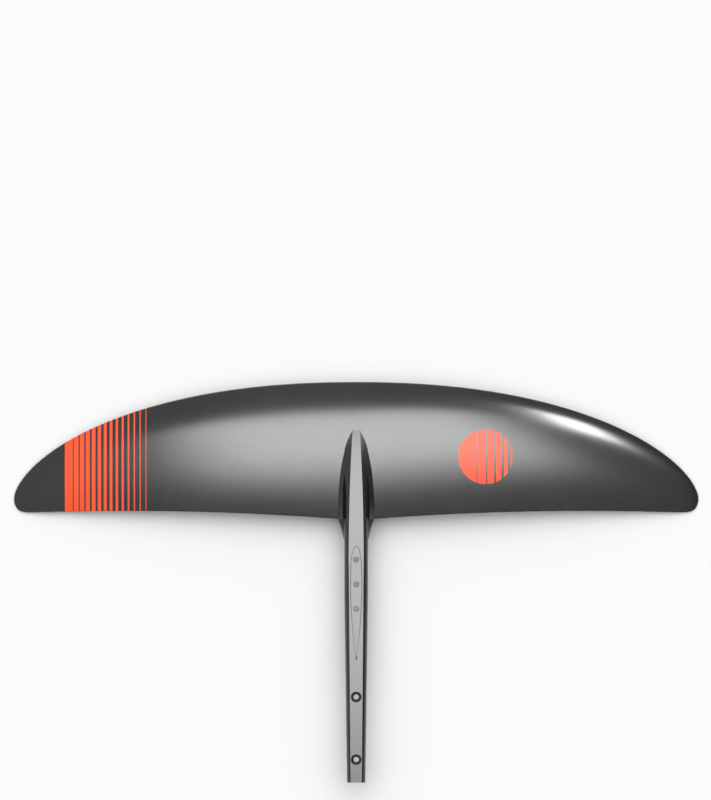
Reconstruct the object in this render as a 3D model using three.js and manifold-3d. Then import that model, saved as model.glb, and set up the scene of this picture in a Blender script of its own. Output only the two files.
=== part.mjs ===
// Hydrofoil front wing, moulded in one with its fuselage.
//
// Millimetres. +X along the span to the right, +Y towards the leading edge, +Z up, to the side that the
// mast stands on. The origin is the middle of the mast seat, on its flat floor.
//
// The wing is two carbon skins over foam cores, with a spar under its thickest line. The fuselage is a
// box of two carbon shells that starts at the spar, passes back through a slot in both skins and ends
// square at the tail. Solid laminate blocks inside it take the mast's and the tail wing's bolts.

import * as THREE from 'three';
import { mergeVertices } from 'three/addons/utils/BufferGeometryUtils.js';
import Module from 'manifold-3d';

const wasm = await Module();
wasm.setup();

const GAP = 0.3; // left between neighbouring pieces, where the real ones have a bond line
const BOND = 0.6; // thicker bond line between the skins and what is inside them
const OVERCUT = 1; // how far a cutting tool runs past what it cuts

// Wing outline, seen from above
const HALF_SPAN = 445;
const TIP_Y = 134.6; // the line that both edges run out to at the tips
const LEADING_EDGE_REACH = 151.4; // how far the leading edge bows forward of that line at the root
const LEADING_EDGE_SPAN_POWER = 2.214; // 2 and 2 would make the leading edge an ellipse
const LEADING_EDGE_CHORD_POWER = 1.623;
const TRAILING_EDGE_SETBACK = 16.1; // least distance of the trailing edge behind the tip line
const TRAILING_EDGE_SWEEP = 12.05; // how much further back it is at the root
const TRAILING_EDGE_NEAREST = 0.669; // share of the half span where the setback is least
const TIP_SQUARENESS = 77.7; // how close to the tip the trailing edge starts to turn in
const TIP_CORNER_POWER = 1.76;
const OUTERMOST = 0.9995; // share of the half span where the skins end in a short blunt edge

// Wing section
const THICKNESS_RATIO = 0.115;
const CAMBER_RATIO = 0.025;
const EDGE_HALF_THICKNESS = 0.65;
const SKIN = 1.4;
const CHORD_LINE_Z = -15.6; // at the root
const TIP_DROP = 32; // the tips hang below the root by this much
const TIP_DROP_POWER = 2.2;

// Spar. "Along the chord" is 0 at the leading edge and 1 at the trailing edge.
const SPAR_LINE = 0.335; // along the chord
const WEB_THICKNESS = 4;
const CAP_WIDTH = 20;
const CAP_THICKNESS = 1.6;

// Fuselage
const TAIL_Y = -233.6;
const FUSELAGE_FRONT_Y = 223.5;
const TOP_Z = 3; // the flat top
const NOSE_FROM_Y = 140; // ahead of this the top curves down to the wing
const BELLY_Z = -24.6;
const TAIL_SEAT_Z = -13; // flat underside that the tail wing is bolted to
const TAIL_SEAT_FROM_Y = -105;
const BELLY_ENDS_Y = -60;
const BELLY_LIFT_FROM_Y = 150; // ahead of this the belly rises to meet the lower skin
const BELLY_LIFT = 2.6;
const HALF_WIDTH = 15.3; // of the fuselage beside the mast
const TAIL_HALF_WIDTH = 12;
const TAPER_FROM_Y = 10;
const FLAT_HALF_WIDTH = 9.7; // of the flat top, at its widest
const FLAT_WIDEST_Y = 55;
const FLAT_FRONT_LOSS = 5; // the flat top is narrower than that by this at its front end
const FLAT_TAIL_LOSS = 2.44;
const FLANK_DEPTH = 8; // the rounded flank ends this far below the top
const SHOULDER_REACH = 0.8; // share of the flank's width at which its curve turns down
const SHOULDER_DROP = 1.5;
const LOWER_CORNER = 6;
const LOWER_CORNER_LIMIT = 0.6; // as a share of the half width
const PARTING_Z = -10.5; // where the two shells meet
const WALL = 2.2;
const FLAT_INSET = 0.4; // share of an inset that the flat top's edge and the flank's end move by
const FLANK_INSET = 0.3;

// Root fairings, with a groove between each of them and a narrower neck in the fuselage's side
const OGIVE_HALF_WIDTH = 23.9;
const OGIVE_FRONT_Y = 224;
const OGIVE_LENGTH = 115;
const FAIRING_AFT_FROM_Y = 110;
const FAIRING_AFT_LENGTH = 35.5;
const FAIRING_AFT_POWER = 1.5;
const FAIRING_FRONT_Y = 194;
const FAIRING_REAR_Y = 83;
const FAIRING_LIP = 0.4;
const FAIRING_LEAST_WIDTH = 0.5;
const FAIRING_BOTTOM_Z = -16.8;
const FAIRING_STEPS = 4;
const FAIRING_ROWS_ON_WING = [FAIRING_FRONT_Y, 185, 172, 160, 148, 134, 120, 109.6];
const FAIRING_ROWS_BEHIND = [102, 97, 92, 87, FAIRING_REAR_Y];
const EDGE_WRAP = 0.2; // how far behind the trailing edge the fairing turns down round it
const GROOVE_FROM_Y = 170;
const GROOVE_FULL_Y = 148;
const GROOVE_REAR_Y = 109;
const GROOVE_WIDTH = 2.1; // from the fuselage's full width out to the fairing
const NECK_DEPTH = 1.8; // from the fuselage's full width in to the neck
const NECK_FOOT = 0.5; // the neck ends this far above the wing
const NECK_ABOVE_PARTING = 1;
const NECK_LEDGE = 0.2; // the ledge from the neck out to the full width slopes by this

// Mast seat: a shallow tray in the shape of the mast's foot
const SEAT_HALF_LENGTH = 73.4;
const SEAT_HALF_WIDTH = 7.95;
const SEAT_NOSE = 0.36; // share of the length in front of the widest place
const SEAT_NOSE_POWERS = [3, 1 / 2.2];
const SEAT_TAIL_POWER = 1.8;
const SEAT_RIM = 0.6;
const SEAT_FLOOR = 2;
const NOTCH_WIDTH = 1.3; // takes the mast's trailing edge, at the tray's pointed end
const NOTCH_Y = [-74.2, -69.4];
const NOTCH_DEPTH = 4.2;

// Bolts
const BORE_RADIUS = 3.5; // clearance for an M6 bolt
const MAST_BOLTS = { front: 55.5, middle: 23.6, rear: -8.2 };
const SLEEVE_RADIUS = 5.5;
const SLEEVE_HEAD_RADIUS = 7.7;
const SLEEVE_HEAD_HEIGHT = 6;
const SLEEVE_COUNTERSINK_RADIUS = 6.4;
const SLEEVE_COUNTERSINK_DEPTH = 3.4;
const TAIL_BOLTS = { front: -122.6, rear: -203.8 };
const CUP_RADIUS = 6.9;
const CUP_HEAD_HEIGHT = 4.4;
const CUP_STEM_RADIUS = 5;
const CUP_MOUTH_RADIUS = 6.5;
const CUP_COUNTERSINK_DEPTH = 3.2;

// Solid laminate and foam inside the fuselage, as [rear, front] along Y
const FRONT_CORE_Y = [92, 222.5];
const MAST_BLOCK_Y = [-82, 91.7];
const REAR_CORE_Y = [-107.7, -82.3];
const TAIL_BLOCK_Y = [TAIL_Y, -108];

// Steps in the meshes. The inner pieces end on the skins' own stations, so that their facets run parallel.
const SPAN_STEPS = 16; // from the root to one tip
const SPAR_END_STEP = 10;
const TIP_BLOCK_STEPS = [11, 14];
const CHORD_STEPS = 12;
const FILLER_CHORD_STEPS = [1, 2];
const REAR_CORE_CHORD_STEPS = [6, 9];
const TIP_BLOCK_CHORD_STEPS = [2, 7];
const FUSELAGE_STATIONS = [
  TAIL_Y, -180, -130, -105, -96, -88, -77, -69, -60, -30, 10, 55, 75, 90, 107, GROOVE_REAR_Y,
  120, 134, 148, 160, 172, 185, 197, 205, 211, 217, FUSELAGE_FRONT_Y,
];
const ROUND_STEPS = 20;
const SEAT_STEPS = 12;
const SEAT_STEP_POWER = 1.6; // above 1 the steps are closer together at the round end

// ---------------------------------------------------------------- small tools

const { lerp, smoothstep, clamp } = THREE.MathUtils;

/** A closed mesh from points and triangles, with its faces turned outwards. */
function closedMesh(points, triangles) {
  let volume = 0;
  for (let k = 0; k < triangles.length; k += 3) {
    const [a, b, c] = [0, 1, 2].map((n) => new THREE.Vector3(...points[triangles[k + n]]));
    volume += a.dot(b.cross(c));
  }
  const geometry = new THREE.BufferGeometry();
  geometry.setAttribute('position', new THREE.Float32BufferAttribute(points.flat(), 3));
  geometry.setIndex(volume < 0 ? triangles.slice().reverse() : triangles);
  return geometry;
}

/** A solid between an upper and a lower grid of points, with walls round its rim. */
function sandwich(top, bottom) {
  const rows = top.length;
  const columns = top[0].length;
  const upper = (i, j) => i * columns + j;
  const lower = (i, j) => rows * columns + upper(i, j);
  const triangles = [];
  const quad = (a, b, c, d) => triangles.push(a, b, c, a, c, d);
  const [lastRow, lastColumn] = [rows - 1, columns - 1];
  for (let i = 0; i < lastRow; i++) {
    for (let j = 0; j < lastColumn; j++) {
      quad(upper(i, j), upper(i, j + 1), upper(i + 1, j + 1), upper(i + 1, j));
      quad(lower(i, j), lower(i + 1, j), lower(i + 1, j + 1), lower(i, j + 1));
    }
    quad(upper(i, 0), upper(i + 1, 0), lower(i + 1, 0), lower(i, 0));
    quad(upper(i + 1, lastColumn), upper(i, lastColumn), lower(i, lastColumn), lower(i + 1, lastColumn));
  }
  for (let j = 0; j < lastColumn; j++) {
    quad(upper(0, j + 1), upper(0, j), lower(0, j), lower(0, j + 1));
    quad(upper(lastRow, j), upper(lastRow, j + 1), lower(lastRow, j + 1), lower(lastRow, j));
  }
  return closedMesh([...top.flat(), ...bottom.flat()], triangles);
}

/** A solid through a row of rings of points, closed at both ends round each end ring's middle. */
function loft(rings) {
  const size = rings[0].length;
  const points = rings.flat();
  const triangles = [];
  for (let i = 0; i + 1 < rings.length; i++) {
    for (let k = 0; k < size; k++) {
      const next = (k + 1) % size;
      const [a, b, c, d] = [i * size + k, i * size + next, (i + 1) * size + next, (i + 1) * size + k];
      triangles.push(a, b, c, a, c, d);
    }
  }
  const middle = (ring) => [0, 1, 2].map((n) => ring.reduce((sum, point) => sum + point[n], 0) / size);
  const [first, last] = [points.length, points.length + 1];
  const lastRing = (rings.length - 1) * size;
  points.push(middle(rings[0]), middle(rings[rings.length - 1]));
  for (let k = 0; k < size; k++) {
    const next = (k + 1) % size;
    triangles.push(first, next, k, last, lastRing + k, lastRing + next);
  }
  return closedMesh(points, triangles);
}

function toSolid(geometry) {
  const bare = geometry.clone();
  bare.deleteAttribute('normal');
  bare.deleteAttribute('uv');
  const merged = mergeVertices(bare);
  return new wasm.Manifold(
    new wasm.Mesh({
      numProp: 3,
      vertProperties: new Float32Array(merged.attributes.position.array),
      triVerts: new Uint32Array(merged.index.array),
    }),
  );
}

function toGeometry(solid) {
  const mesh = solid.getMesh();
  const geometry = new THREE.BufferGeometry();
  geometry.setAttribute('position', new THREE.BufferAttribute(mesh.vertProperties, 3));
  geometry.setIndex(new THREE.BufferAttribute(mesh.triVerts, 1));
  return geometry;
}

/** The first geometry with all the others cut out of it. */
function cut(geometry, ...tools) {
  return toGeometry(tools.reduce((solid, tool) => solid.subtract(toSolid(tool)), toSolid(geometry)));
}

/** An upright cylinder at a place on the centre line. */
function plug(radius, y, bottom, top) {
  const geometry = new THREE.CylinderGeometry(radius, radius, top - bottom, ROUND_STEPS);
  geometry.rotateX(Math.PI / 2);
  geometry.translate(0, y, (top + bottom) / 2);
  return geometry;
}

/** A turned piece from its [radius, z] outline, upright at a place on the centre line. */
function turned(outline, y) {
  const points = [...outline, outline[0]].map(([radius, z]) => new THREE.Vector2(radius, z));
  const geometry = new THREE.LatheGeometry(points, ROUND_STEPS);
  geometry.rotateX(Math.PI / 2);
  geometry.translate(0, y, 0);
  return geometry;
}

// ---------------------------------------------------------------- the wing's surface

function leadingEdgeY(x) {
  const along = Math.abs(x) / HALF_SPAN;
  const reach = (1 - along ** LEADING_EDGE_SPAN_POWER) ** (1 / LEADING_EDGE_CHORD_POWER);
  return TIP_Y + LEADING_EDGE_REACH * reach;
}

function trailingEdgeY(x) {
  const along = Math.abs(x) / HALF_SPAN;
  const setback = TRAILING_EDGE_SETBACK + TRAILING_EDGE_SWEEP * (1 - along / TRAILING_EDGE_NEAREST) ** 2;
  return TIP_Y - setback * (1 - along ** TIP_SQUARENESS) ** (1 / TIP_CORNER_POWER);
}

function chord(x) {
  return leadingEdgeY(x) - trailingEdgeY(x);
}

function alongChord(x, y) {
  return (leadingEdgeY(x) - y) / chord(x);
}

/** Height of the camber line over the root's chord line and the drop towards the tips. */
function meanZ(x, s) {
  const drop = TIP_DROP * (Math.abs(x) / HALF_SPAN) ** TIP_DROP_POWER;
  return CHORD_LINE_Z - drop + 4 * CAMBER_RATIO * s * (1 - s) * chord(x);
}

/** Half the wing's thickness: the four-digit aerofoil's, with a blunt edge added. */
function halfThickness(x, s) {
  const shape = 0.2969 * Math.sqrt(s) - 0.126 * s - 0.3516 * s ** 2 + 0.2843 * s ** 3 - 0.1036 * s ** 4;
  return EDGE_HALF_THICKNESS + 5 * THICKNESS_RATIO * shape * chord(x);
}

const upperZ = (x, s) => meanZ(x, s) + halfThickness(x, s);
const lowerZ = (x, s) => meanZ(x, s) - halfThickness(x, s);
const upperSurfaceAt = (x, y) => upperZ(x, clamp(alongChord(x, y), 0, 1));

/** Place along the span of a station, counted from the root: close together towards the tip. */
function stationX(step) {
  return HALF_SPAN * OUTERMOST * Math.sin((Math.PI / 2) * (step / SPAN_STEPS));
}

/** Share of the chord at a chord step: close together towards both edges. */
function chordShare(step) {
  return (1 - Math.cos((Math.PI * step) / CHORD_STEPS)) / 2;
}

function steps(from, to) {
  return Array.from({ length: to - from + 1 }, (_, k) => from + k);
}

/** A piece of the wing over stations xs. Each line runs along the span: where on the chord, top, bottom. */
function wingPiece(xs, lines) {
  const grid = (height) =>
    xs.map((x) =>
      lines.map((line) => {
        const s = line.at(x);
        return [x, leadingEdgeY(x) - s * chord(x), line[height](x, s)];
      }),
    );
  return sandwich(grid('top'), grid('bottom'));
}

const underSkin = (depth) => (x, s) => upperZ(x, s) - SKIN - BOND - depth;
const overSkin = (depth) => (x, s) => lowerZ(x, s) + SKIN + BOND + depth;
const aheadOfSpar = (distance) => (x) => SPAR_LINE - distance / chord(x);
const atStep = (step) => () => chordShare(step);

/** A line of a piece that fills the wing from skin to skin, or a little less. */
function fillLine(at, depth = 0) {
  return { at, top: underSkin(depth), bottom: overSkin(depth) };
}

// ---------------------------------------------------------------- wing pieces

const ALL_STATIONS = steps(-SPAN_STEPS, SPAN_STEPS).map(stationX);
const SPAR_STATIONS = steps(-SPAR_END_STEP, SPAR_END_STEP).map(stationX);
const CAP_ROOM = CAP_THICKNESS + GAP;
const WEB_FRONT = WEB_THICKNESS / 2;
const CAP_FRONT = CAP_WIDTH - WEB_FRONT;

function upperSkin() {
  const lines = steps(0, CHORD_STEPS).map((step) => ({
    at: atStep(step),
    top: upperZ,
    bottom: (x, s) => Math.max(upperZ(x, s) - SKIN, meanZ(x, s) + GAP / 2),
  }));
  return cut(wingPiece(ALL_STATIONS, lines), fuselageBody(-GAP, TAIL_Y, FUSELAGE_FRONT_Y + GAP));
}

function lowerSkin() {
  const lines = steps(0, CHORD_STEPS).map((step) => ({
    at: atStep(step),
    top: (x, s) => Math.min(lowerZ(x, s) + SKIN, meanZ(x, s) - GAP / 2),
    bottom: lowerZ,
  }));
  return cut(wingPiece(ALL_STATIONS, lines), fuselageBody(-GAP, TAIL_Y, FUSELAGE_FRONT_Y + GAP));
}

function sparWeb() {
  const lines = [WEB_FRONT, -WEB_FRONT].map((ahead) => fillLine(aheadOfSpar(ahead), CAP_ROOM));
  return wingPiece(SPAR_STATIONS, lines);
}

function upperSparCap() {
  const lines = [CAP_FRONT, CAP_FRONT / 2, -WEB_FRONT].map((ahead) => ({
    at: aheadOfSpar(ahead),
    top: underSkin(0),
    bottom: underSkin(CAP_THICKNESS),
  }));
  return wingPiece(SPAR_STATIONS, lines);
}

function lowerSparCap() {
  const lines = [CAP_FRONT, CAP_FRONT / 2, -WEB_FRONT].map((ahead) => ({
    at: aheadOfSpar(ahead),
    top: overSkin(CAP_THICKNESS),
    bottom: overSkin(0),
  }));
  return wingPiece(SPAR_STATIONS, lines);
}

function leadingEdgeFiller() {
  return wingPiece(SPAR_STATIONS, FILLER_CHORD_STEPS.map((step) => fillLine(atStep(step))));
}

/** Foam from the filler back to the spar, stepped down where it runs between the caps. */
function frontCore(side) {
  const behindFiller = (x) => chordShare(FILLER_CHORD_STEPS[1]) + GAP / chord(x);
  const stepFace = 0.1;
  const xs = [GAP / 2, ...steps(1, SPAR_END_STEP).map(stationX)].map((x) => side * x);
  return wingPiece(xs, [
    fillLine(behindFiller),
    fillLine(aheadOfSpar(CAP_FRONT + GAP + stepFace)),
    fillLine(aheadOfSpar(CAP_FRONT + GAP), CAP_ROOM),
    fillLine(aheadOfSpar(WEB_FRONT + GAP), CAP_ROOM),
  ]);
}

/** Foam from the spar towards the trailing edge, beside the fuselage. */
function rearCore(side) {
  const besideFuselage = HALF_WIDTH + 2 * GAP;
  const xs = [besideFuselage, ...steps(1, SPAR_END_STEP).map(stationX)].map((x) => side * x);
  const aft = steps(...REAR_CORE_CHORD_STEPS).map((step) => fillLine(atStep(step)));
  return wingPiece(xs, [fillLine(aheadOfSpar(-WEB_FRONT - GAP)), ...aft]);
}

function tipBlock(side) {
  const xs = steps(...TIP_BLOCK_STEPS).map((step) => side * stationX(step));
  return wingPiece(xs, steps(...TIP_BLOCK_CHORD_STEPS).map((step) => fillLine(atStep(step))));
}

// ---------------------------------------------------------------- the fuselage's surface

/** Half width of the pointed plan shape that the fuselage and its fairings make on the wing. */
function ogiveHalfWidth(y) {
  if (y > FAIRING_AFT_FROM_Y) {
    const toGo = clamp(1 - (OGIVE_FRONT_Y - y) / OGIVE_LENGTH, 0, 1);
    return OGIVE_HALF_WIDTH * Math.sqrt(1 - toGo ** 2);
  }
  const left = clamp(1 - (FAIRING_AFT_FROM_Y - y) / FAIRING_AFT_LENGTH, 0, 1);
  return HALF_WIDTH + (OGIVE_HALF_WIDTH - HALF_WIDTH) * left ** FAIRING_AFT_POWER;
}

function flatHalfWidth(y) {
  if (y > FLAT_WIDEST_Y) {
    const ahead = (y - FLAT_WIDEST_Y) / (FUSELAGE_FRONT_Y - FLAT_WIDEST_Y);
    return FLAT_HALF_WIDTH - FLAT_FRONT_LOSS * ahead ** 2;
  }
  return FLAT_HALF_WIDTH - (FLAT_TAIL_LOSS * (FLAT_WIDEST_Y - y)) / (FLAT_WIDEST_Y - TAIL_Y);
}

function fuselageHalfWidth(y) {
  const taper = clamp((TAPER_FROM_Y - y) / (TAPER_FROM_Y - TAIL_Y), 0, 1);
  const beam = lerp(HALF_WIDTH, TAIL_HALF_WIDTH, taper);
  return Math.max(flatHalfWidth(y) + GAP, Math.min(beam, y > FAIRING_REAR_Y ? ogiveHalfWidth(y) : beam));
}

/** The top is flat, and curves down in front until it meets the wing's surface. */
function topZ(y) {
  const nose = clamp((y - NOSE_FROM_Y) / (FUSELAGE_FRONT_Y - NOSE_FROM_Y), 0, 1);
  return lerp(TOP_Z, upperSurfaceAt(0, FUSELAGE_FRONT_Y), nose ** 2);
}

function bellyZ(y) {
  if (y > BELLY_LIFT_FROM_Y) {
    return BELLY_Z + BELLY_LIFT * ((y - BELLY_LIFT_FROM_Y) / (FUSELAGE_FRONT_Y - BELLY_LIFT_FROM_Y)) ** 2;
  }
  return lerp(TAIL_SEAT_Z, BELLY_Z, smoothstep(y, TAIL_SEAT_FROM_Y, BELLY_ENDS_Y));
}

/** How far the groove is open, from 0 to 1. */
function grooveShare(y) {
  return y < GROOVE_REAR_Y ? 0 : 1 - smoothstep(y, GROOVE_FULL_Y, GROOVE_FROM_Y);
}

function neckHalfWidth(y) {
  return fuselageHalfWidth(y) - NECK_DEPTH * grooveShare(y);
}

/** Where the neck ends and the fuselage's full width begins. */
function neckFootZ(y) {
  return Math.max(upperSurfaceAt(HALF_WIDTH, y) + NECK_FOOT, PARTING_Z + NECK_ABOVE_PARTING);
}

/** Height at x of a ramp from the flat top's edge down to the wing at the ogive's edge. */
function rampZ(x, y) {
  const [flat, outer] = [flatHalfWidth(y), Math.max(ogiveHalfWidth(y), fuselageHalfWidth(y))];
  return lerp(topZ(y), upperSurfaceAt(outer, y), (x - flat) / (outer - flat));
}

/** Where the rounded flank ends and the upright side begins. */
function flankZ(y) {
  const rootEdge = trailingEdgeY(HALF_WIDTH);
  const onWing = Math.max(y, rootEdge);
  const behind = smoothstep(-y, -rootEdge, -FAIRING_REAR_Y);
  return lerp(rampZ(neckHalfWidth(onWing), onWing), TOP_Z - FLANK_DEPTH, behind);
}

/** Points from a corner to its end, on a curve that leaves towards the middle point. */
function bend(start, middle, end, count) {
  const curve = new THREE.QuadraticBezierCurve(...[start, middle, end].map((p) => new THREE.Vector2(...p)));
  return curve.getPoints(count).map((point) => [point.x, point.y]);
}

/** The fuselage's outline across its length, drawn in by an inset. */
function fuselageRing(y, inset) {
  const [top, bottom] = [topZ(y) - inset, bellyZ(y) + inset];
  const width = fuselageHalfWidth(y) - inset;
  const neck = neckHalfWidth(y) - inset;
  const flat = Math.min(flatHalfWidth(y) - FLAT_INSET * inset, neck - GAP);
  const flankEnd = [neck, Math.min(flankZ(y) - FLANK_INSET * inset, top - FLAT_INSET * inset)];
  const straight = [(flat + neck) / 2, (top + flankEnd[1]) / 2];
  const full = 1 - smoothstep(y, GROOVE_FULL_Y, GROOVE_FROM_Y);
  const turn = [lerp(flat, neck, SHOULDER_REACH), top - SHOULDER_DROP];
  const shoulder = [lerp(straight[0], turn[0], full), lerp(straight[1], turn[1], full)];
  const corner = Math.min(LOWER_CORNER - inset, LOWER_CORNER_LIMIT * width);
  const foot = clamp(neckFootZ(y) - inset, bottom + corner + NECK_LEDGE, flankEnd[1] - 2 * NECK_LEDGE);
  const right = [
    ...bend([flat, top], shoulder, flankEnd, 3),
    [neck, foot + NECK_LEDGE],
    [width, foot],
    ...bend([width, bottom + corner], [width, bottom], [width - corner, bottom], 2),
  ];
  const left = right.map(([x, z]) => [-x, z]).reverse();
  return [...right, ...left].map(([x, z]) => [x, y, z]);
}

function fuselageBody(inset, rear, front) {
  const between = FUSELAGE_STATIONS.filter((y) => y > rear + 1 && y < front - 1);
  return loft([rear, ...between, front].map((y) => fuselageRing(y, inset)));
}

// ---------------------------------------------------------------- the mast seat

/** Outline of the mast's foot, round in front and pointed behind, drawn in by an inset. */
function mastFoot(inset) {
  const halfLength = SEAT_HALF_LENGTH - inset;
  const halfWidth = SEAT_HALF_WIDTH - inset;
  const halfWidthAt = (share) => {
    if (share < SEAT_NOSE) {
      const [inner, outer] = SEAT_NOSE_POWERS;
      return halfWidth * (1 - (1 - share / SEAT_NOSE) ** inner) ** outer;
    }
    return halfWidth * (1 - ((share - SEAT_NOSE) / (1 - SEAT_NOSE)) ** SEAT_TAIL_POWER);
  };
  const shares = steps(0, SEAT_STEPS).map((step) => (step / SEAT_STEPS) ** SEAT_STEP_POWER);
  const right = shares.map((share) => new THREE.Vector2(halfWidthAt(share), halfLength * (1 - 2 * share)));
  const left = right.slice(1, -1).map((point) => new THREE.Vector2(-point.x, point.y));
  return new THREE.Shape([...right, ...left.reverse()]);
}

function mastFootBlock(inset, bottom, top) {
  const geometry = new THREE.ExtrudeGeometry(mastFoot(inset), { depth: top - bottom, bevelEnabled: false });
  geometry.translate(0, 0, bottom);
  return geometry;
}

function mastNotch() {
  const [rear, front] = NOTCH_Y;
  const geometry = new THREE.BoxGeometry(NOTCH_WIDTH, front - rear, NOTCH_DEPTH + OVERCUT);
  geometry.translate(0, (front + rear) / 2, TOP_Z + (OVERCUT - NOTCH_DEPTH) / 2);
  return geometry;
}

function mastSeatInsert() {
  const bores = Object.values(MAST_BOLTS).map((y) => plug(BORE_RADIUS, y, -SEAT_FLOOR - OVERCUT, OVERCUT));
  const tray = mastFootBlock(SEAT_RIM, 0, TOP_Z + OVERCUT);
  return cut(mastFootBlock(0, -SEAT_FLOOR, TOP_Z), tray, mastNotch(), ...bores);
}

// ---------------------------------------------------------------- fuselage pieces

/** Tools that cut the room for a sleeve or a cup out of whatever surrounds it. */
function sleeveRoom(y) {
  const [bottom, top] = [BELLY_Z - OVERCUT, TOP_Z];
  const shoulder = BELLY_Z + SLEEVE_HEAD_HEIGHT + GAP;
  return [plug(SLEEVE_RADIUS + GAP, y, bottom, top), plug(SLEEVE_HEAD_RADIUS + GAP, y, bottom, shoulder)];
}

function cupRoom(y) {
  const [bottom, top] = [TAIL_SEAT_Z - OVERCUT, TOP_Z + OVERCUT];
  const shoulder = TOP_Z - CUP_HEAD_HEIGHT - GAP;
  return [plug(CUP_STEM_RADIUS + GAP, y, bottom, top), plug(CUP_RADIUS + GAP, y, shoulder, top)];
}

const SLEEVE_ROOMS = Object.values(MAST_BOLTS).flatMap(sleeveRoom);
const CUP_ROOMS = Object.values(TAIL_BOLTS).flatMap(cupRoom);

/** A slab across the whole fuselage between two heights. */
function slab(bottom, top) {
  const length = FUSELAGE_FRONT_Y - TAIL_Y + 2 * OVERCUT;
  const geometry = new THREE.BoxGeometry(4 * HALF_WIDTH, length, top - bottom);
  geometry.translate(0, (FUSELAGE_FRONT_Y + TAIL_Y) / 2, (top + bottom) / 2);
  return geometry;
}

function fuselageWall() {
  const hollow = fuselageBody(WALL, TAIL_Y - OVERCUT, FUSELAGE_FRONT_Y + OVERCUT);
  return cut(fuselageBody(0, TAIL_Y, FUSELAGE_FRONT_Y), hollow);
}

function fuselageTopShell() {
  const under = slab(BELLY_Z - OVERCUT, PARTING_Z + GAP / 2);
  const seatHole = mastFootBlock(-GAP, TOP_Z - WALL - OVERCUT, TOP_Z + OVERCUT);
  return cut(fuselageWall(), under, seatHole, mastNotch(), ...CUP_ROOMS);
}

function fuselageBottomShell() {
  const over = slab(PARTING_Z - GAP / 2, TOP_Z + OVERCUT);
  return cut(fuselageWall(), over, ...SLEEVE_ROOMS, ...CUP_ROOMS);
}

function insideFuselage([rear, front]) {
  return fuselageBody(WALL + GAP, rear, front);
}

function mastBlock() {
  const room = mastFootBlock(-GAP, -SEAT_FLOOR - GAP, TOP_Z);
  return cut(insideFuselage(MAST_BLOCK_Y), room, ...SLEEVE_ROOMS);
}

function tailBlock() {
  return cut(insideFuselage(TAIL_BLOCK_Y), ...CUP_ROOMS);
}

/** A flanged sleeve with its countersink at the bottom, where the mast's bolts go in. */
function mastBoltSleeve(y) {
  const top = -SEAT_FLOOR - GAP;
  const shoulder = BELLY_Z + SLEEVE_HEAD_HEIGHT;
  const outline = [
    [BORE_RADIUS, top],
    [BORE_RADIUS, BELLY_Z + SLEEVE_COUNTERSINK_DEPTH],
    [SLEEVE_COUNTERSINK_RADIUS, BELLY_Z],
    [SLEEVE_HEAD_RADIUS, BELLY_Z],
    [SLEEVE_HEAD_RADIUS, shoulder],
    [SLEEVE_RADIUS, shoulder],
    [SLEEVE_RADIUS, top],
  ];
  return turned(outline, y);
}

/** A flanged cup with its countersink at the top, where the tail wing's bolts go in. */
function tailBoltCup(y) {
  const shoulder = TOP_Z - CUP_HEAD_HEIGHT;
  const outline = [
    [BORE_RADIUS, TAIL_SEAT_Z],
    [CUP_STEM_RADIUS, TAIL_SEAT_Z],
    [CUP_STEM_RADIUS, shoulder],
    [CUP_RADIUS, shoulder],
    [CUP_RADIUS, TOP_Z],
    [CUP_MOUTH_RADIUS, TOP_Z],
    [BORE_RADIUS, TOP_Z - CUP_COUNTERSINK_DEPTH],
  ];
  return turned(outline, y);
}

/**
 * A ramp from the fuselage's side down to the wing. It lies on the upper skin, wraps the trailing edge
 * and tapers into the fuselage behind it. On the wing a groove parts it from the fuselage's neck.
 */
function rootFairing(side) {
  const rootEdge = trailingEdgeY(HALF_WIDTH);
  const rows = [
    ...FAIRING_ROWS_ON_WING.map((y) => ({ y, onWing: true })),
    { y: rootEdge - EDGE_WRAP, follow: true, onWing: true },
    { y: rootEdge - GAP, follow: true, onWing: false },
    ...FAIRING_ROWS_BEHIND.map((y) => ({ y, onWing: false })),
  ];
  const grid = (height) =>
    rows.map((row) => {
      const inner = fuselageHalfWidth(row.y) + GAP + GROOVE_WIDTH * grooveShare(row.y);
      const outer = Math.max(ogiveHalfWidth(row.y), inner + FAIRING_LEAST_WIDTH);
      const crest = row.onWing ? rampZ(inner, Math.max(row.y, rootEdge)) : flankZ(row.y);
      return steps(0, FAIRING_STEPS).map((step) => {
        const share = step / FAIRING_STEPS;
        const x = lerp(inner, outer, share);
        const y = row.follow ? row.y + trailingEdgeY(x) - rootEdge : row.y;
        const wing = upperSurfaceAt(x, Math.max(y, trailingEdgeY(x)));
        if (height === 'bottom') {
          return [side * x, y, row.onWing ? wing + GAP : FAIRING_BOTTOM_Z];
        }
        return [side * x, y, Math.max(lerp(crest, wing, share), wing + GAP + FAIRING_LIP)];
      });
    });
  return sandwich(grid('top'), grid('bottom'));
}

// ---------------------------------------------------------------- the whole part

const CARBON = { color: 0x3b3b3d, roughness: 0.3, metalness: 0 };
const BARE_CARBON = { color: 0x232325, roughness: 0.5, metalness: 0 };
const FOAM = { color: 0xd8cfae, roughness: 0.95, metalness: 0 };
const LAMINATE = { color: 0x2e2e30, roughness: 0.6, metalness: 0 };
const FILLER = { color: 0x4a4a48, roughness: 0.7, metalness: 0 };
const STEEL = { color: 0x9da0a3, roughness: 0.35, metalness: 1 };
const BLACK_CUP = { color: 0x1c1c1e, roughness: 0.4, metalness: 0.2 };

const part = new THREE.Group();

function add(name, geometry, finish) {
  const mesh = new THREE.Mesh(geometry, new THREE.MeshStandardMaterial(finish));
  mesh.name = name;
  part.add(mesh);
}

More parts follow.
